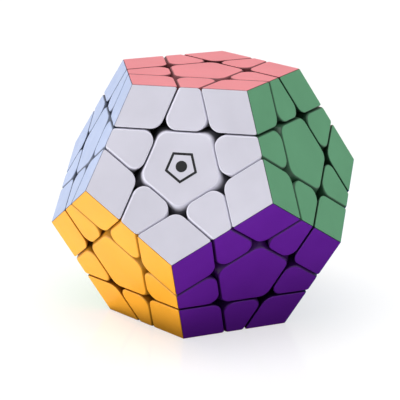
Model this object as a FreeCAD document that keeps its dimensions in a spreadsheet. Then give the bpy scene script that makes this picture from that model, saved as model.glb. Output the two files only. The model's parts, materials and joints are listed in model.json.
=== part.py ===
import FreeCAD, Part
import itertools
import math
import os

# A twisty puzzle in the shape of a regular dodecahedron. Each of its 12 faces turns about its own axis.
# All sizes are in millimetres and degrees. The origin is the centre of the core, where the 12 axes meet,
# +Z goes up through the coral face, and the puzzle rests on its orange face.

SIZES = {
    "inradius": (37.86, "centre to the outside of a face; the edges are then 34 long"),
    "cut_depth": (26.0, "centre to the plane on which a face turns"),
    "half_gap": (0.25, "from a turning surface to the pieces on either side of it"),
    "fit_gap": (0.02, "from a joint face to each of the two pieces that are clipped together there"),
    "ridge_gap": (0.06, "from a ridge's plane to each of the two shells that meet there"),
    "shell_depth": (6.5, "height of the coloured shells"),
    "shell_wall": (1.4, "wall of the coloured shells"),
    "corner_round": (3.8, "radius of the inner corner of a corner shell"),
    "edge_round": (3.2, "radius of the two inner corners of an edge shell"),
    "centre_round": (3.3, "radius of the corners of a centre cap"),
    "neck_angle": (43.0, "half angle of the turning cone between the hooks and the shells"),
    "neck_top": (28.0, "centre to the top of the neck's cone, inside the layer that turns"),
    "hook_angle": (50.0, "half angle of the turning cone at the hooks"),
    "step_radius": (27.0, "centre to the ledge that the hooks run under"),
    "foot_radius": (22.3, "centre to the underside of the feet"),
    "ball_radius": (17.0, "outside of the core's ball"),
    "ball_wall": (2.2, "wall of the core's ball"),
    "arm_radius": (4.2, "radius of the core's arms"),
    "arm_root": (10.5, "centre to the inner end of an arm"),
    "arm_reach": (21.6, "centre to the outer end of an arm"),
    "screw_start": (11.5, "centre to the tip of a screw"),
    "shank_radius": (1.4, "radius of a screw"),
    "bore_radius": (1.8, "radius of a hub's bore"),
    "pocket_radius": (3.3, "radius of a hub's spring pocket"),
    "pocket_floor": (24.5, "centre to the floor of the spring pocket"),
    "ring_inner": (4.9, "inner radius of the hollow around a hub's pocket"),
    "ring_outer": (9.3, "outer radius of that hollow"),
    "ring_floor": (28.8, "centre to the floor of that hollow"),
    "foot_hollow_angle": (8.0, "half angle of the hollow in an edge piece's foot"),
    "foot_hollow_floor": (28.5, "centre to the floor of that hollow"),
    "spring_length": (4.6, "length of the compressed spring"),
    "spring_radius": (2.3, "middle of the wire to the spring's axis"),
    "wire_radius": (0.35, "radius of the spring's wire"),
    "spring_pitch": (1.1, "rise of the spring in one turn"),
    "washer_radius": (2.9, "radius of a washer"),
    "washer_thickness": (0.5, "thickness of a washer"),
    "head_radius": (2.6, "radius of a screw's head"),
    "head_height": (1.9, "height of a screw's head"),
    "slot_width": (0.8, "width of the cross recess in a screw's head"),
    "slot_length": (3.4, "length of the cross recess"),
    "slot_depth": (1.1, "depth of the cross recess"),
    "seat_gap": (0.15, "space at each end of the spring"),
    "reach": (60.0, "size of the helper solids, which reach past the whole puzzle"),
}

WIRE_SIDES = 12  # the spring's wire is a 12-sided bar

UP = FreeCAD.Vector(0, 0, 1)
TILT = math.atan(2)  # between the axes of two neighbouring faces of a dodecahedron


def ring_face(azimuth, rise):
    """Normal of a face that isn't the top or the base, at an azimuth in degrees; rise is 1 or -1."""
    turn = math.radians(azimuth)
    level = math.sin(TILT)
    return FreeCAD.Vector(level * math.cos(turn), level * math.sin(turn), rise * math.cos(TILT))


FACES = {
    "coral": UP,
    "white": ring_face(-90, 1),
    "green": ring_face(-18, 1),
    "cream": ring_face(54, 1),
    "pink": ring_face(126, 1),
    "blue": ring_face(198, 1),
    "amber": ring_face(234, -1),
    "purple": ring_face(306, -1),
    "sky": ring_face(18, -1),
    "grey": ring_face(90, -1),
    "lime": ring_face(162, -1),
    "orange": -UP,
}
BASE = "orange"

doc = FreeCAD.newDocument("twisty_dodecahedron")


# ---------------------------------------------------------------- sizes and small helpers


def make_sheet():
    sheet = doc.addObject("Spreadsheet::Sheet", "Sizes")
    for row, (alias, (value, meaning)) in enumerate(SIZES.items(), start=1):
        sheet.set(f"A{row}", meaning)
        sheet.set(f"B{row}", str(value))
        sheet.setAlias(f"B{row}", alias)
    doc.recompute()
    return sheet


sizes = make_sheet()


def bind(thing, **formulas):
    """Bind properties of an object to the sheet; in a formula, $name is the cell with that alias."""
    for prop, formula in formulas.items():
        thing.setExpression(prop.replace("__", "."), formula.replace("$", "Sizes."))
    return thing


def primitive(kind, name, **formulas):
    return bind(doc.addObject(f"Part::{kind}", name), **formulas)


def combine(kind, name, shapes):
    """Part::MultiCommon, Part::MultiFuse or Part::Compound of some objects."""
    thing = doc.addObject(f"Part::{kind}", name)
    setattr(thing, "Links" if kind == "Compound" else "Shapes", shapes)
    return thing


def cut(name, base, *tools):
    for tool in tools:
        result = doc.addObject("Part::Cut", name)
        result.Base = base
        result.Tool = tool
        base = result
    return base


def turned(name, thing, rotation):
    """A copy of an object, turned about the centre of the puzzle."""
    copy = combine("Compound", name, [thing])
    copy.Placement = FreeCAD.Placement(FreeCAD.Vector(), rotation)
    return copy


def adjacent(a, b):
    return a != b and FACES[a].dot(FACES[b]) > 0


def neighbours(face):
    return [other for other in FACES if adjacent(face, other)]


def frame_of(face, other):
    """The frame whose Z is one face's axis and whose X leans to another's."""
    return FreeCAD.Rotation(FACES[other], FreeCAD.Vector(), FACES[face], "ZXY")


def rotation_to(face, other, from_face="coral", from_other="white"):
    """The turn that takes one pair of neighbouring faces to another pair."""
    return frame_of(face, other).multiply(frame_of(from_face, from_other).inverted())


def half_space(name, normal, distance, side):
    """Everything beyond (side 1) or within (side -1) a plane at a distance along its normal."""
    block = primitive("Cylinder", name, Radius="$reach", Height="$reach")
    block.Placement = FreeCAD.Placement(FreeCAD.Vector(), FreeCAD.Rotation(UP, normal * side))
    for axis, share in zip("xyz", normal):
        bind(block, **{f"Placement__Base__{axis}": f"{share:.12f} * ({distance})"})
    return block


# ---------------------------------------------------------------- coloured shells


def plane_solid(name, planes, inset):
    """The solid inside a set of planes, each moved inwards by the inset."""
    blocks = []
    for number, (normal, distance, side) in enumerate(planes):
        moved = f"{distance} + {side} * ({inset})"
        blocks.append(half_space(f"{name}_plane_{number}", normal, moved, side))
    return combine("MultiCommon", name, blocks)


def beyond_cut(face):
    return (FACES[face], "$cut_depth + $half_gap", 1)


def within_cut(face):
    return (FACES[face], "$cut_depth - $half_gap", -1)


def mitre(face, other):
    """The plane on which the shells of two neighbouring faces meet at the ridge between them."""
    return ((FACES[face] - FACES[other]).normalize(), "$ridge_gap", 1)


def rounded(name, base, normals, radius):
    """Round the edges in which two of the given planes meet."""
    doc.recompute()
    lines = [a.cross(b).normalize() for a, b in itertools.combinations(normals, 2)]
    picked = []
    for number, edge in enumerate(base.Shape.Edges, start=1):
        along = edge.tangentAt(edge.FirstParameter)
        if any(abs(along.dot(line)) > 0.9999 for line in lines):
            picked.append((number, radius, radius))
    result = doc.addObject("Part::Fillet", name)
    result.Base = base
    result.Edges = picked
    return result


def shell(name, face, sides, round_normals, radius):
    """A cup-shaped shell under a face: a plate and side walls, open towards the centre."""
    top = (FACES[face], "$inradius", -1)
    rim = (FACES[face], "$inradius - $shell_depth + $fit_gap", 1)
    outside = plane_solid(f"{name}_outside", [top, rim] + sides, "0")
    hollow = plane_solid(f"{name}_hollow", [top] + sides, "$shell_wall")
    outside = rounded(f"{name}_outside_rounded", outside, round_normals, radius)
    hollow = rounded(f"{name}_hollow_rounded", hollow, round_normals, radius - sizes.shell_wall)
    return cut(name, outside, hollow)


def centre_cap():
    around = neighbours("coral")
    sides = [within_cut(other) for other in around]
    return shell("centre_cap", "coral", sides, [FACES[other] for other in around], sizes.centre_round)


def edge_shell():
    """Coral shell of the edge piece between the coral and white faces."""
    sides = [beyond_cut("white"), within_cut("green"), within_cut("blue"), mitre("coral", "white")]
    normals = [FACES[other] for other in ("white", "green", "blue")]
    return shell("edge_shell", "coral", sides, normals, sizes.edge_round)


def corner_shell():
    """Coral shell of the corner piece between the coral, white and green faces."""
    sides = [beyond_cut("white"), beyond_cut("green"), mitre("coral", "white"), mitre("coral", "green")]
    normals = [FACES["white"], FACES["green"]]
    return shell("corner_shell", "coral", sides, normals, sizes.corner_round)


# ---------------------------------------------------------------- black feet and hubs


# The two versions of a turning space, as the sign of their offset: one that holds the pieces that turn,
# and a larger one that the pieces left behind keep out of.
MEMBERS = 1
CLEARED = -1


def cone(name, angle, top, side):
    """A blunt cone about Z whose wall is offset inwards (MEMBERS) or outwards (CLEARED)."""
    start = "$foot_radius / 2"
    tip = f"({side} * $half_gap / sin(${angle}))"
    return primitive(
        "Cone",
        name,
        Radius1=f"({start} - {tip}) * tan(${angle})",
        Radius2=f"({top} - {tip}) * tan(${angle})",
        Height=f"{top} - {start}",
        Placement__Base__z=start,
    )


def under_shells(name):
    """The space about Z that the shells of the five faces around the top never reach when the top turns.

    The underside of a shell is a plane, and turning it sweeps out a cone about Z. Because the tangent of
    the angle between two faces is 2, the cone's radius at a height z is (underside * sqrt(5) - z) / 2.
    """
    underside = "($inradius - $shell_depth - $half_gap)"
    start = "$foot_radius / 2"
    return primitive(
        "Cone",
        name,
        Radius1=f"({underside} * sqrt(5) - {start}) / 2",
        Radius2=f"({underside} * sqrt(5) - $neck_top) / 2",
        Height=f"$neck_top - {start}",
        Placement__Base__z=start,
    )


def turning_space(name, side):
    """The space that turns with the coral face: a layer, a neck and a wider hook below the ledge."""
    layer = half_space(f"{name}_layer", UP, f"$cut_depth + {side} * $half_gap", 1)
    neck = cone(f"{name}_neck", "neck_angle", "$neck_top", side)
    if side == MEMBERS:
        neck = combine("MultiCommon", f"{name}_slim_neck", [neck, under_shells(f"{name}_under_shells")])
    wide = cone(f"{name}_wide", "hook_angle", "$step_radius", side)
    inner = primitive("Sphere", f"{name}_inner", Radius=f"$step_radius - {side} * $half_gap")
    hook = combine("MultiCommon", f"{name}_hook", [wide, inner])
    return combine("MultiFuse", name, [layer, neck, hook])


members = turning_space("members", MEMBERS)
cleared = turning_space("cleared", CLEARED)
core_space = primitive("Sphere", "core_space", Radius="$foot_radius")


def towards(face):
    """The turn that takes the coral face's axis to another face's axis."""
    return FreeCAD.Rotation(UP, FACES[face])


def foot(name, faces, outsiders):
    """The black part of a piece: inside the turning spaces of its faces, outside those of the others."""
    spaces = [turned(f"{name}_in_{face}", members, towards(face)) for face in faces]
    lids = [
        half_space(f"{name}_under_{face}", FACES[face], "$inradius - $shell_depth - $fit_gap", -1)
        for face in faces
    ]
    kept_out = [turned(f"{name}_clear_of_{face}", cleared, towards(face)) for face in outsiders]
    return cut(name, combine("MultiCommon", f"{name}_block", spaces + lids), *kept_out, core_space)


def centre_hub():
    """The hub under a centre cap, with a bore for its screw and a pocket for its spring."""
    bore = primitive("Cylinder", "hub_bore", Radius="$bore_radius", Height="$reach")
    pocket = primitive(
        "Cylinder",
        "hub_pocket",
        Radius="$pocket_radius",
        Height="$reach",
        Placement__Base__z="$pocket_floor",
    )
    around = primitive(
        "Cylinder",
        "hub_ring_outside",
        Radius="$ring_outer",
        Height="$reach",
        Placement__Base__z="$ring_floor",
    )
    post = primitive("Cylinder", "hub_ring_inside", Radius="$ring_inner", Height="$reach * 2")
    ring = cut("hub_ring", around, post)
    return cut("centre_hub", foot("hub_block", ["coral"], neighbours("coral")), bore, pocket, ring)


def edge_foot():
    """The foot between the coral and white faces, hollow from its top."""
    hollow = primitive(
        "Cone",
        "edge_foot_hollow",
        Radius1="$foot_hollow_floor * tan($foot_hollow_angle)",
        Radius2="$inradius * tan($foot_hollow_angle)",
        Height="$inradius - $foot_hollow_floor",
        Placement__Base__z="$foot_hollow_floor",
    )
    middle = FreeCAD.Rotation(UP, FACES["coral"] + FACES["white"])
    solid = foot("edge_foot_block", ["coral", "white"], ["green", "blue"])
    return cut("edge_foot", solid, turned("edge_foot_opening", hollow, middle))


# ---------------------------------------------------------------- core and fasteners


def core():
    """A hollow ball with 12 arms, in two halves that meet on the plane between the rings of arms."""
    ball = primitive("Sphere", "core_ball", Radius="$ball_radius")
    hollow = primitive("Sphere", "core_hollow", Radius="$ball_radius - $ball_wall")
    arm = primitive(
        "Cylinder",
        "core_arm",
        Radius="$arm_radius",
        Height="$arm_reach - $arm_root",
        Placement__Base__z="$arm_root",
    )
    hole = primitive(
        "Cylinder",
        "core_arm_hole",
        Radius="$shank_radius + $fit_gap",
        Height="$reach",
        Placement__Base__z="$arm_root / 2",
    )
    arms = [turned(f"core_arm_{face}", arm, towards(face)) for face in FACES]
    holes = [turned(f"core_hole_{face}", hole, towards(face)) for face in FACES]
    body = combine("MultiFuse", "core_body", [cut("core_wall", ball, hollow)] + arms)
    drilled = cut("core_drilled", body, *holes)
    upper = combine("MultiCommon", "core_upper", [drilled, half_space("core_top", UP, "$fit_gap", 1)])
    lower = combine("MultiCommon", "core_lower", [drilled, half_space("core_base", -UP, "$fit_gap", 1)])
    return combine("Compound", "core_halves", [upper, lower])


def screw():
    """The screw of the coral face, with a cross recess, and the washer under its head."""
    seat = "$pocket_floor + 2 * $seat_gap + $spring_length"
    under_head = f"{seat} + $washer_thickness + $fit_gap"
    shank = primitive(
        "Cylinder",
        "screw_shank",
        Radius="$shank_radius",
        Height=f"{under_head} - $screw_start",
        Placement__Base__z="$screw_start",
    )
    head = primitive(
        "Cylinder",
        "screw_head",
        Radius="$head_radius",
        Height="$head_height",
        Placement__Base__z=under_head,
    )
    slots = []
    for name, long_side, short_side in (("x", "slot_length", "slot_width"), ("y", "slot_width", "slot_length")):
        slots.append(
            primitive(
                "Box",
                f"screw_slot_{name}",
                Length=f"${long_side}",
                Width=f"${short_side}",
                Height="$head_height",
                Placement__Base__x=f"-${long_side} / 2",
                Placement__Base__y=f"-${short_side} / 2",
                Placement__Base__z=f"{under_head} + $head_height - $slot_depth",
            )
        )
    disc = primitive(
        "Cylinder",
        "washer_disc",
        Radius="$washer_radius",
        Height="$washer_thickness",
        Placement__Base__z=seat,
    )
    opening = primitive("Cylinder", "washer_opening", Radius="$shank_radius + $fit_gap", Height="$reach")
    screw_body = cut("screw_body", combine("MultiFuse", "screw_blank", [shank, head]), *slots)
    return combine("Compound", "screw", [screw_body, cut("washer", disc, opening)])


def spring():
    """The coil spring between the hub's pocket floor and the washer."""
    coil = primitive(
        "Helix",
        "spring_line",
        Pitch="$spring_pitch",
        Height="$spring_length - 2 * $wire_radius",
        Radius="$spring_radius",
        Placement__Base__z="$pocket_floor + $seat_gap + $wire_radius",
    )
    wire = primitive("RegularPolygon", "spring_wire", Circumradius="$wire_radius")
    wire.Polygon = WIRE_SIDES
    wire.Placement = FreeCAD.Placement(FreeCAD.Vector(), FreeCAD.Rotation(FreeCAD.Vector(1, 0, 0), 90))
    bind(wire, Placement__Base__x="$spring_radius")
    bind(wire, Placement__Base__z="$pocket_floor + $seat_gap + $wire_radius")
    sweep = doc.addObject("Part::Sweep", "spring")
    sweep.Sections = [wire]
    sweep.Spine = (coil, [])
    sweep.Solid = True
    sweep.Frenet = True
    return sweep


# ---------------------------------------------------------------- pieces and nodes


def right_handed(faces):
    """Three faces around a corner, in the order in which coral, white and green go round theirs."""
    a, b, c = faces
    return (a, b, c) if FACES[a].dot(FACES[b].cross(FACES[c])) > 0 else (a, c, b)


def centre_piece():
    return combine("Compound", "centre_piece", [centre_cap(), centre_hub()])


def edge_piece():
    """The piece between the coral and white faces."""
    first = edge_shell()
    second = turned("edge_shell_white", first, rotation_to("white", "coral"))
    return combine("Compound", "edge_piece", [first, second, edge_foot()])


def corner_piece():
    """The piece between the coral, white and green faces."""
    first = corner_shell()
    second = turned("corner_shell_white", first, rotation_to("white", "green"))
    third = turned("corner_shell_green", first, rotation_to("green", "coral"))
    feet = foot("corner_foot", ["coral", "white", "green"], [])
    return combine("Compound", "corner_piece", [first, second, third, feet])


def build():
    """All the nodes, each an object whose Label names its file."""
    centre = centre_piece()
    edge = edge_piece()
    corner = corner_piece()
    nodes = []

    def node(label, parts):
        thing = combine("Compound", label, parts)
        thing.Label = label
        nodes.append(thing)

    for face in FACES:
        node(f"centre_{face}", [turned(f"turn_{face}", centre, rotation_to(face, neighbours(face)[0]))])

    corners = {}
    for faces in itertools.combinations(FACES, 3):
        if all(adjacent(a, b) for a, b in itertools.combinations(faces, 2)):
            first, second, _ = right_handed(faces)
            place = rotation_to(first, second)
            corners[faces] = turned("turn_corner_" + "_".join(faces), corner, place)

    for faces in itertools.combinations(FACES, 2):
        if not adjacent(*faces):
            continue
        place = turned("turn_edge_" + "_".join(faces), edge, rotation_to(*faces))
        below = corners.pop((*faces, BASE), None)
        if below is None:
            node("edge_" + "_".join(faces), [place])
        else:
            node("edge_" + "_".join(faces) + "_and_base_corner", [place, below])

    for faces, place in corners.items():
        node("corner_" + "_".join(faces), [place])

    nodes.append(core())
    one_screw = screw()
    one_spring = spring()
    node("screws_with_washers", [turned(f"screw_{face}", one_screw, towards(face)) for face in FACES])
    node("springs", [turned(f"spring_{face}", one_spring, towards(face)) for face in FACES])
    return nodes


def write(nodes):
    doc.recompute()
    for thing in doc.Objects:
        if "Invalid" in thing.State or "Error" in thing.State:
            raise RuntimeError(f"{thing.Label} did not build: {thing.State}")
    os.makedirs("parts", exist_ok=True)
    for thing in nodes:
        if thing.Shape.isNull() or not thing.Shape.isValid():
            raise RuntimeError(f"{thing.Label} is not a valid solid")
        thing.Shape.exportStep(f"parts/{thing.Label}.step")
        print(thing.Label, len(thing.Shape.Solids), round(thing.Shape.Volume, 1))


write(build())
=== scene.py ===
import bmesh
import bpy
import itertools
import json
import math
from mathutils import Matrix, Vector


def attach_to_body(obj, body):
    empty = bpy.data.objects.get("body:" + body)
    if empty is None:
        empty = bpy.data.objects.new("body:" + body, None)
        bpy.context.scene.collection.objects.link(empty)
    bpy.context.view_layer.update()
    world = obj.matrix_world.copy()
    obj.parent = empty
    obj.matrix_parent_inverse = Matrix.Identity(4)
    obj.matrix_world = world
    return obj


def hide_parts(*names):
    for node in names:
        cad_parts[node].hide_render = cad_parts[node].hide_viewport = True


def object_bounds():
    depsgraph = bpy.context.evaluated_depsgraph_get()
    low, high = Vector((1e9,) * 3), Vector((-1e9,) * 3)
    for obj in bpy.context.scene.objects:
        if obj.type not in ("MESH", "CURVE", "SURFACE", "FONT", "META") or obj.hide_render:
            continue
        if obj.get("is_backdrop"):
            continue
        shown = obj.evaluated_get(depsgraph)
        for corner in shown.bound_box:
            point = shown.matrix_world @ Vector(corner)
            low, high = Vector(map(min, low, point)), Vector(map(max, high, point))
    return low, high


# A dodecahedral twisty puzzle: coloured moulded shells on black feet, standing on its base face.
# Lengths are in metres and angles in degrees. The frame's origin is the centre where the 12 axes meet.

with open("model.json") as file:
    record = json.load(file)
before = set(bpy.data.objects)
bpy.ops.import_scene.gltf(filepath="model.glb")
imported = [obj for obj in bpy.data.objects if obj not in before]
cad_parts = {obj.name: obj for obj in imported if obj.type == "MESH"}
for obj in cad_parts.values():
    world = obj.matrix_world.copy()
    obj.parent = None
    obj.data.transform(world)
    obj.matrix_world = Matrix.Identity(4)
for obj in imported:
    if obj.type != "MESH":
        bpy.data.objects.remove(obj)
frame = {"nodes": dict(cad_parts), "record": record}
CAD_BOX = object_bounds()

MM = 0.001
INRADIUS = CAD_BOX[1].z  # centre to the outside of a face
CUT_DEPTH = 26.0 * MM  # centre to the plane on which a face turns
HALF_GAP = 0.25 * MM  # from that plane to the shells on either side
RIDGE_GAP = 0.06 * MM  # from a ridge's plane to the two shells that meet there
SHELL_DEPTH = 6.48 * MM
SHELL_WALL = 1.4 * MM

SOFT_RIM = 0.42 * MM  # rounding of a shell's outer rim along a cut
RIDGE_RIM = 0.07 * MM  # rounding along a ridge, where two colours meet
RIM_STEPS = 5
ROUNDS = {"centre": 3.3 * MM, "edge": 3.2 * MM, "corner": 3.8 * MM}  # where two cuts meet
SMALL_ROUND = 0.35 * MM  # where a cut meets a ridge
TIP_ROUND = 0.1 * MM  # where two ridges meet
LEAST_ROUND = 0.05 * MM  # inside the hollow
ROUND_STEPS = 12
SMALL_STEPS = 3
SMOOTH_ANGLE = 35
WELD = 0.001 * MM

MARK_OUTER = 5.0 * MM
MARK_INNER = 4.1 * MM
MARK_TWIST = 36  # turns the mark's corners to the centre shell's sides
MARK_DOT = 1.7 * MM
DOT_SIDES = 24
INK_PROUD = 0.01 * MM
INK_SUNK = 0.05 * MM

TILT = math.atan(2)  # between the axes of two neighbouring faces
UP = Vector((0, 0, 1))


def ring_face(azimuth, rise):
    """Normal of a face that isn't the top or the base; rise is 1 in the upper ring and -1 in the lower."""
    turn = math.radians(azimuth)
    level = math.sin(TILT)
    return Vector((level * math.cos(turn), level * math.sin(turn), rise * math.cos(TILT)))


FACES = {
    "coral": UP,
    "white": ring_face(-90, 1),
    "green": ring_face(-18, 1),
    "cream": ring_face(54, 1),
    "pink": ring_face(126, 1),
    "blue": ring_face(198, 1),
    "amber": ring_face(234, -1),
    "purple": ring_face(306, -1),
    "sky": ring_face(18, -1),
    "grey": ring_face(90, -1),
    "lime": ring_face(162, -1),
    "orange": -UP,
}
BASE = "orange"

# Each plastic's own colour, in linear light.
COLOURS = {
    "coral": (0.97, 0.30, 0.33),
    "white": (0.57, 0.56, 0.64),
    "green": (0.11, 0.32, 0.17),
    "cream": (0.86, 0.76, 0.50),
    "pink": (0.80, 0.10, 0.28),
    "blue": (0.385, 0.46, 0.665),
    "amber": (0.95, 0.41, 0.03),
    "purple": (0.16, 0.015, 0.40),
    "sky": (0.02, 0.26, 0.72),
    "grey": (0.25, 0.26, 0.28),
    "lime": (0.28, 0.56, 0.03),
    "orange": (0.85, 0.14, 0.01),
}
BLACK = (0.012, 0.012, 0.014)
STEEL = (0.50, 0.50, 0.51)

# How much lighter or darker each plastic is painted in the gaps: painted light for the white, standing in
# for light shining through it, and painted shade for the amber.
PAINTED_GAP_TONES = {"white": 1.22, "amber": 0.6}
PAINTED_DEEP_SHADE = 0.25  # painted shade deep in the gaps, down to a quarter of the colour, and all the way for the other plastics
RIM_START = 0.01 * MM  # depths under the face between which the painted gap tone sets in
RIM_END = 0.14 * MM
DEEP_START = 0.8 * MM  # and those between which it turns to the painted deep shade
DEEP_END = 2.4 * MM

# Roughness of each kind of surface, and how far wear takes it to the glossy and the dull side.
SHELL_ROUGHNESS = 0.34
FOOT_ROUGHNESS = 0.42
PRINT_ROUGHNESS = 0.5
STEEL_ROUGHNESS = 0.3
PLASTIC_WEAR = (-0.05, 0.06)
STEEL_WEAR = (-0.08, 0.12)
SPECULAR = 0.3

# The darkest and lightest of each material's clouds, as shares of its colour.
PLASTIC_SHADES = (0.94, 1.04)
STEEL_SHADES = (0.8, 1.0)
LIFT = 0.002  # added to a plastic's light clouds, so that they show on black

# Sizes of the surface patterns, in features per metre.
PLASTIC_CLOUDS = 60
PLASTIC_HANDLING = 160
PLASTIC_PEEL = 700
STEEL_CLOUDS = 300
STEEL_TURNING = 2500
TURNING_STRETCH = (1, 1, 0.1)
PEEL_HEIGHT = 0.03 * MM
PEEL_STRENGTH = 0.05
TURNING_HEIGHT = 0.02 * MM
TURNING_STRENGTH = 0.1
NOISE_RANGE = (0.3, 0.7)  # where nearly all of a noise's values lie

# Sockets of a colour mix node, whose names repeat.
MIX_SHARE = 0
MIX_COLOURS = (6, 7)
MIX_RESULT = 2

CAMERA = {"azimuth": 11.1, "elevation": 16.73, "distance": 0.5552, "roll": 0.6, "lens": 162.5}
CAMERA_SHIFT = (-0.0011, -0.0029)  # of the camera itself, to its right and up
SENSOR = 36.0

FLOOR_RADIUS = 4.0
FLOOR_PAINT = 0.45
FLOOR_ROUGHNESS = 0.14
FLOOR_GLOW = 0.62
SHEET_SIDES = 64
BOUNCE_PAINT = 0.8  # share of the light that comes back up from the floor round the object
BOUNCE_DEPTH = 0.2 * MM
FLAG_PAINT = 0.02  # the same for the floor under the object
FLAG_RADIUS = 62 * MM
FLAG_DEPTH = 0.1 * MM
FLAG_SHIFT = (32 * MM, -6 * MM, 0)  # towards the side that the left light doesn't reach
HIDDEN_ROUGHNESS = 0.6
WHITE = (1.0, 1.0, 1.0)
AMBIENT = 0.35  # the world's strength where it isn't seen directly
# Azimuth, measured like the camera's, elevation, spread and strength of each soft light.
SUNS = {"top": (-20, 80, 60, 0.63), "left": (-62, -12, 50, 0.9), "right": (60, 5, 60, 0.25)}


# ---------------------------------------------------------------- materials


def material_base(name, colour, roughness):
    material = bpy.data.materials.new(name)
    material.use_nodes = True
    nodes = material.node_tree.nodes
    shader = nodes["Principled BSDF"]
    shader.inputs["Base Color"].default_value = (*colour, 1)
    shader.inputs["Roughness"].default_value = roughness
    return material, nodes, material.node_tree.links, shader


def noise(nodes, links, place, scale, detail, stretch=(1, 1, 1)):
    """Noise over the object's own coordinates; scale is in features per metre."""
    mapping = nodes.new("ShaderNodeMapping")
    mapping.inputs["Scale"].default_value = stretch
    links.new(place, mapping.inputs["Vector"])
    texture = nodes.new("ShaderNodeTexNoise")
    texture.inputs["Scale"].default_value = scale
    texture.inputs["Detail"].default_value = detail
    links.new(mapping.outputs["Vector"], texture.inputs["Vector"])
    return texture.outputs["Fac"]


def spread(nodes, links, source, low, high, span=NOISE_RANGE):
    """Map a span of a value onto a range from low to high."""
    node = nodes.new("ShaderNodeMapRange")
    node.inputs["From Min"].default_value = span[0]
    node.inputs["From Max"].default_value = span[1]
    node.inputs["To Min"].default_value = low
    node.inputs["To Max"].default_value = high
    links.new(source, node.inputs["Value"])
    return node.outputs["Result"]


def mixed(nodes, links, share, first, second):
    """A colour between two, each a fixed colour or a socket, by a share of the second from 0 to 1."""
    node = nodes.new("ShaderNodeMix")
    node.data_type = "RGBA"
    for number, source in zip(MIX_COLOURS, (first, second)):
        socket = node.inputs[number]
        if isinstance(source, bpy.types.NodeSocket):
            links.new(source, socket)
        else:
            socket.default_value = (*source, 1)
    links.new(share, node.inputs[MIX_SHARE])
    return node.outputs[MIX_RESULT]


def bumped(nodes, links, source, shader, strength, distance):
    node = nodes.new("ShaderNodeBump")
    node.inputs["Strength"].default_value = strength
    node.inputs["Distance"].default_value = distance
    links.new(source, node.inputs["Height"])
    links.new(node.outputs["Normal"], shader.inputs["Normal"])


def worn(nodes, links, source, shader, roughness, wear):
    """A roughness that a noise varies within the wear's two limits."""
    glossy, dull = wear
    varied = spread(nodes, links, source, roughness + glossy, roughness + dull)
    links.new(varied, shader.inputs["Roughness"])


def clouded(nodes, links, place, colour):
    """Moulded plastic's colour, which clouds a little."""
    clouds = spread(nodes, links, noise(nodes, links, place, PLASTIC_CLOUDS, 3), 0, 1)
    darkest, lightest = PLASTIC_SHADES
    dark = [c * darkest for c in colour]
    light = [min(c * lightest + LIFT, 1) for c in colour]
    return mixed(nodes, links, clouds, dark, light)


def plastic(name, colour, roughness):
    """Moulded plastic with a faint orange peel, and a gloss worn by handling."""
    material, nodes, links, shader = material_base(name, colour, roughness)
    place = nodes.new("ShaderNodeTexCoord").outputs["Object"]
    links.new(clouded(nodes, links, place, colour), shader.inputs["Base Color"])
    handling = noise(nodes, links, place, PLASTIC_HANDLING, 3)
    worn(nodes, links, handling, shader, roughness, PLASTIC_WEAR)
    peel = noise(nodes, links, place, PLASTIC_PEEL, 1)
    bumped(nodes, links, peel, shader, PEEL_STRENGTH, PEEL_HEIGHT)
    shader.inputs["Specular IOR Level"].default_value = SPECULAR
    return material


def shell_plastic(face):
    """A face's own plastic, with a painted tone in the gaps below the outer rim (painted light for the
    white, painted shade for the others) and dark painted shade deep in them.
    """
    colour = COLOURS[face]
    material = plastic(f"plastic_{face}", colour, SHELL_ROUGHNESS)
    nodes = material.node_tree.nodes
    links = material.node_tree.links
    place = nodes["Texture Coordinate"].outputs["Object"]
    # Painted shade on the walls of the gaps, set by depth under the face: darker deeper down, and a painted
    # light for the white near the rim.
    level = nodes.new("ShaderNodeVectorMath")
    level.operation = "DOT_PRODUCT"
    level.inputs[1].default_value = FACES[face]
    links.new(place, level.inputs[0])
    height = level.outputs["Value"]
    unpainted_share = spread(nodes, links, height, 0, 1, (INRADIUS - RIM_END, INRADIUS - RIM_START))
    painted_shade_fade = spread(nodes, links, height, 0, 1, (INRADIUS - DEEP_END, INRADIUS - DEEP_START))
    painted_gap_tone = [c * PAINTED_GAP_TONES.get(face, PAINTED_DEEP_SHADE) for c in colour]
    painted_gap_colour = mixed(nodes, links, painted_shade_fade, [c * PAINTED_DEEP_SHADE for c in colour], painted_gap_tone)
    base = nodes["Principled BSDF"].inputs["Base Color"]
    links.new(mixed(nodes, links, unpainted_share, painted_gap_colour, base.links[0].from_socket), base)
    return material


def steel(name):
    """Zinc-plated steel with fine turning marks."""
    material, nodes, links, shader = material_base(name, STEEL, STEEL_ROUGHNESS)
    place = nodes.new("ShaderNodeTexCoord").outputs["Object"]
    clouds = spread(nodes, links, noise(nodes, links, place, STEEL_CLOUDS, 3), 0, 1)
    dark, light = ([c * shade for c in STEEL] for shade in STEEL_SHADES)
    links.new(mixed(nodes, links, clouds, dark, light), shader.inputs["Base Color"])
    turning = noise(nodes, links, place, STEEL_TURNING, 2, TURNING_STRETCH)
    worn(nodes, links, turning, shader, STEEL_ROUGHNESS, STEEL_WEAR)
    bumped(nodes, links, turning, shader, TURNING_STRENGTH, TURNING_HEIGHT)
    shader.inputs["Metallic"].default_value = 1.0
    return material


PLASTICS = {face: shell_plastic(face) for face in FACES}
INNER = plastic("plastic_inner_black", BLACK, FOOT_ROUGHNESS)
PRINT = plastic("printed_black", BLACK, PRINT_ROUGHNESS)
METAL = steel("plated_steel")


# ---------------------------------------------------------------- mesh helpers


def adjacent(a, b):
    return a != b and FACES[a].dot(FACES[b]) > 0


def neighbours(*faces):
    """The faces next to all of these."""
    return [face for face in FACES if all(adjacent(face, other) for other in faces)]


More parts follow.
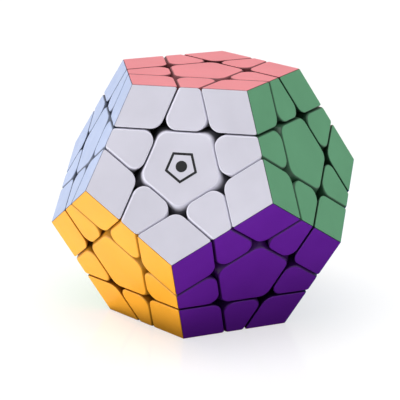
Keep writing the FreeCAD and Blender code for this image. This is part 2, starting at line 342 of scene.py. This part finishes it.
def finished(name, bm, material):
    """An object from a mesh under construction, smooth apart from its real edges."""
    bmesh.ops.recalc_face_normals(bm, faces=bm.faces)
    for face in bm.faces:
        face.smooth = True
    for edge in bm.edges:
        edge.smooth = edge.calc_face_angle(0) < math.radians(SMOOTH_ANGLE)
    mesh = bpy.data.meshes.new(name)
    bm.to_mesh(mesh)
    bm.free()
    mesh.materials.append(material)
    piece = bpy.data.objects.new(name, mesh)
    bpy.context.scene.collection.objects.link(piece)
    weighted = piece.modifiers.new("weighted_normals", "WEIGHTED_NORMAL")
    weighted.keep_sharp = True
    return piece


def attach(piece, node, body, slot):
    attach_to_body(piece, body)
    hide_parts(node)


# ---------------------------------------------------------------- coloured shells


class Side:
    """One side of a shell: the plane normal.p = distance, with the shell on its inner side."""

    def __init__(self, kind, normal, distance):
        self.kind = kind
        self.normal = normal
        self.distance = distance

    def line(self, axes, height, wall, rim):
        """Its line at a height under the face: a direction in the face's plane and a distance along it."""
        across, along, out = axes
        flat = Vector((self.normal.dot(across), self.normal.dot(along)))
        reach = (self.distance - wall - self.normal.dot(out) * height) / flat.length
        rounding = RIDGE_RIM if self.kind == "ridge" else SOFT_RIM
        return flat.normalized(), reach - rim * rounding


def cut_side(face, beyond):
    """The cut that another face turns on, with the shell beyond it or within it."""
    if beyond:
        return Side("cut", -FACES[face], -(CUT_DEPTH + HALF_GAP))
    return Side("cut", FACES[face], CUT_DEPTH - HALF_GAP)


def ridge_side(face, other):
    return Side("ridge", (FACES[other] - FACES[face]).normalized(), -RIDGE_GAP)


def shell_sides(face, others):
    """The sides of one face's shell on the centre, edge or corner piece shared with the other faces."""
    around = neighbours(face)
    sides = [cut_side(other, other in others) for other in around]
    if not others:
        return sides
    if len(others) == 1:
        beside = neighbours(face, others[0])
        sides = [cut_side(others[0], True)] + [cut_side(other, False) for other in beside]
    else:
        sides = [cut_side(other, True) for other in others]
    return sides + [ridge_side(face, other) for other in others]


def face_axes(face):
    out = FACES[face]
    toward = FACES[neighbours(face)[0]]
    across = (toward - out * toward.dot(out)).normalized()
    return across, out.cross(across), out


def corner_arc(first, second, radius, steps):
    """The rounded corner between two lines, as points in the face's plane."""
    (a, reach_a), (b, reach_b) = first, second
    span = a.x * b.y - a.y * b.x
    inner_a = reach_a - radius
    inner_b = reach_b - radius
    middle = Vector((inner_a * b.y - inner_b * a.y, inner_b * a.x - inner_a * b.x)) / span
    start = math.atan2(a.y, a.x)
    sweep = math.atan2(span, a.dot(b))
    angles = [start + sweep * step / steps for step in range(steps + 1)]
    return [middle + radius * Vector((math.cos(angle), math.sin(angle))) for angle in angles]


def outline(sides, axes, height, rim, wall, round_radius):
    """A shell's rounded outline at one height, as points in space."""
    lines = [side.line(axes, height, wall, rim) for side in sides]
    points = []
    for number, side in enumerate(sides):
        following = (number + 1) % len(sides)
        kinds = {side.kind, sides[following].kind}
        if kinds == {"cut"}:
            radius, steps = round_radius, ROUND_STEPS
        elif kinds == {"ridge"}:
            radius, steps = TIP_ROUND, SMALL_STEPS
        else:
            radius, steps = SMALL_ROUND, SMALL_STEPS
        radius = max(radius - wall, LEAST_ROUND)
        points += corner_arc(lines[number], lines[following], radius, steps)
    across, along, out = axes
    return [across * p.x + along * p.y + out * height for p in points]


def bridge(bm, upper, lower):
    for number in range(len(upper)):
        following = (number + 1) % len(upper)
        bm.faces.new((upper[number], lower[number], lower[following], upper[following]))


def shell(name, face, others, kind):
    """A moulded shell: a flat plate with a soft rim, side walls, and a hollow open towards the centre."""
    axes = face_axes(face)
    across, along, _ = axes
    sides = shell_sides(face, others)
    sides.sort(key=lambda side: math.atan2(side.normal.dot(along), side.normal.dot(across)))
    rings = []
    for step in range(RIM_STEPS + 1):
        angle = math.radians(90 * step / RIM_STEPS)
        height = INRADIUS - SOFT_RIM * (1 - math.cos(angle))
        rings.append(outline(sides, axes, height, 1 - math.sin(angle), 0, ROUNDS[kind]))
    rim_height = INRADIUS - SHELL_DEPTH
    rings.append(outline(sides, axes, rim_height, 0, 0, ROUNDS[kind]))
    rings.append(outline(sides, axes, rim_height, 0, SHELL_WALL, ROUNDS[kind]))
    rings.append(outline(sides, axes, INRADIUS - SHELL_WALL, 0, SHELL_WALL, ROUNDS[kind]))

    bm = bmesh.new()
    loops = [[bm.verts.new(point) for point in ring] for ring in rings]
    for upper, lower in itertools.pairwise(loops):
        bridge(bm, upper, lower)
    bm.faces.new(loops[0])
    bm.faces.new(reversed(loops[-1]))
    return finished(name, bm, PLASTICS[face])


# ---------------------------------------------------------------- black feet and the core


def islands(bm):
    """The separate solids in a mesh, as lists of vertices, always in the same order."""
    left = dict.fromkeys(bm.verts)
    while left:
        found = [left.popitem()[0]]
        for vertex in found:
            for edge in vertex.link_edges:
                other = edge.other_vert(vertex)
                if other in left:
                    del left[other]
                    found.append(other)
        yield found


def feet(node, body):
    """The black solids of a CAD node, each as its own piece."""
    source = bmesh.new()
    source.from_mesh(frame["nodes"][node].data)
    bmesh.ops.remove_doubles(source, verts=source.verts, dist=WELD)
    lid = INRADIUS - SHELL_DEPTH / 2
    number = 0
    for vertices in list(islands(source)):
        if max(v.co.dot(normal) for v in vertices for normal in FACES.values()) > lid:
            continue
        number += 1
        bm = bmesh.new()
        copies = {vertex: bm.verts.new(vertex.co) for vertex in vertices}
        for face in dict.fromkeys(face for vertex in vertices for face in vertex.link_faces):
            bm.faces.new([copies[vertex] for vertex in face.verts])
        name = f"foot_{number}_of_{node}"
        attach(finished(name, bm, INNER), node, body, "inner_black")
    source.free()


def pieces_of(node):
    """The physical pieces that a node holds, as tuples of face names."""
    words = node.split("_")
    if words[0] not in ROUNDS:
        return []
    faces = tuple(word for word in words[1:] if word in FACES)
    return [faces, faces + (BASE,)] if node.endswith("base_corner") else [faces]


def dress(node, body):
    """Shells and feet for one CAD node, or a material for one that stays."""
    pieces = pieces_of(node)
    if not pieces:
        material = INNER if node == "core_halves" else METAL
        for slot in frame["nodes"][node].material_slots:
            slot.material = material
        return
    for faces in pieces:
        kind = ("centre", "edge", "corner")[len(faces) - 1]
        for face in faces:
            others = [other for other in faces if other != face]
            name = "_".join(["shell", face, "of", kind, *faces])
            attach(shell(name, face, others, kind), node, body, face)
    feet(node, body)


# ---------------------------------------------------------------- printed mark


def printed_mark():
    """A plain pentagon ring with a dot, printed on the white centre."""
    across, along, out = face_axes("white")
    bm = bmesh.new()

    def loop(radius, corners, twist, height):
        angles = [math.radians(twist + 360 * step / corners) for step in range(corners)]
        return [
            bm.verts.new(radius * (across * math.cos(angle) + along * math.sin(angle)) + out * height)
            for angle in angles
        ]

    top = INRADIUS + INK_PROUD
    foot = INRADIUS - INK_SUNK
    section = [(MARK_OUTER, top), (MARK_INNER, top), (MARK_INNER, foot), (MARK_OUTER, foot)]
    loops = [loop(radius, 5, MARK_TWIST, height) for radius, height in section]
    for number, upper in enumerate(loops):
        bridge(bm, upper, loops[number - 1])
    dot = [loop(MARK_DOT, DOT_SIDES, 0, height) for height in (top, foot)]
    bridge(bm, *dot)
    for end in dot:
        bm.faces.new(end)
    piece = finished("printed_mark", bm, PRINT)
    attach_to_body(piece, "centre_white")


# ---------------------------------------------------------------- surroundings


def sheet(name, radius, depth, colour, roughness, glow=0.0):
    """A flat disc at a depth under the puzzle's base."""
    bm = bmesh.new()
    bmesh.ops.create_circle(bm, cap_ends=True, segments=SHEET_SIDES, radius=radius)
    bmesh.ops.translate(bm, verts=bm.verts, vec=(0, 0, -INRADIUS - depth))
    material, _, _, shader = material_base(f"{name}_paint", (colour, colour, colour), roughness)
    shader.inputs["Emission Color"].default_value = (*WHITE, 1)
    shader.inputs["Emission Strength"].default_value = glow
    piece = finished(name, bm, material)
    piece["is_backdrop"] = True
    return piece


def floor():
    """The floor that is seen, and two hidden sheets that set how much light comes from below."""
    seen = sheet("floor", FLOOR_RADIUS, 0, FLOOR_PAINT, FLOOR_ROUGHNESS, FLOOR_GLOW)
    seen.visible_diffuse = False
    seen.visible_glossy = False
    seen.visible_shadow = False
    flag = sheet("floor_flag", FLAG_RADIUS, FLAG_DEPTH, FLAG_PAINT, HIDDEN_ROUGHNESS)
    flag.location = FLAG_SHIFT
    flag.visible_camera = False
    bounce = sheet("floor_bounce", FLOOR_RADIUS, BOUNCE_DEPTH, BOUNCE_PAINT, HIDDEN_ROUGHNESS)
    bounce.visible_camera = False
    bounce.visible_shadow = False


def soft_sun(name, azimuth, elevation, spread_angle, strength):
    """A wide soft light from far away, from an azimuth measured like the camera's."""
    light = bpy.data.lights.new(name, "SUN")
    light.angle = math.radians(spread_angle)
    light.energy = math.pi * strength
    lamp = bpy.data.objects.new(name, light)
    bpy.context.scene.collection.objects.link(lamp)
    lamp.rotation_euler = looking(azimuth, elevation).to_track_quat("-Z", "Y").to_euler()


def looking(azimuth, elevation):
    """The direction of view at an azimuth, 0 being along +Y, from an elevation above the horizon."""
    a = math.radians(azimuth)
    e = math.radians(elevation)
    return Vector((-math.sin(a) * math.cos(e), math.cos(a) * math.cos(e), -math.sin(e)))


def lights():
    """An even pale world, white where it is seen, with wide soft lights from the top, left and right."""
    world = bpy.data.worlds.new("studio")
    world.use_nodes = True
    nodes = world.node_tree.nodes
    background = nodes["Background"]
    background.inputs["Color"].default_value = (*WHITE, 1)
    level = nodes.new("ShaderNodeMapRange")
    level.inputs["To Min"].default_value = AMBIENT
    level.inputs["To Max"].default_value = 1
    seen = nodes.new("ShaderNodeLightPath").outputs["Is Camera Ray"]
    world.node_tree.links.new(seen, level.inputs["Value"])
    world.node_tree.links.new(level.outputs["Result"], background.inputs["Strength"])
    bpy.context.scene.world = world
    for name, (azimuth, elevation, spread_angle, strength) in SUNS.items():
        soft_sun(name, azimuth, elevation, spread_angle, strength)


def camera():
    data = bpy.data.cameras.new("camera")
    data.sensor_width = SENSOR
    data.lens = CAMERA["lens"]
    lens = bpy.data.objects.new("camera", data)
    bpy.context.scene.collection.objects.link(lens)
    toward = looking(CAMERA["azimuth"], CAMERA["elevation"])
    right = toward.cross(UP).normalized()
    roll = Matrix.Rotation(math.radians(-CAMERA["roll"]), 3, toward)
    right = roll @ right
    top = right.cross(toward)
    place = -toward * CAMERA["distance"] + right * CAMERA_SHIFT[0] + top * CAMERA_SHIFT[1]
    turn = Matrix((right, top, -toward)).transposed().to_4x4()
    lens.matrix_world = Matrix.Translation(place) @ turn
    bpy.context.scene.camera = lens


def write_sizes():
    boxes = {"cad": CAD_BOX, "visual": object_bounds()}
    {name: [list(corner) for corner in box] for name, box in boxes.items()}


camera()
lights()
floor()
for body, nodes in frame["record"]["behaviour"]["bodies"].items():
    for node in nodes:
        dress(node, body)
printed_mark()
bpy.context.scene.view_settings.view_transform = "Standard"
write_sizes()
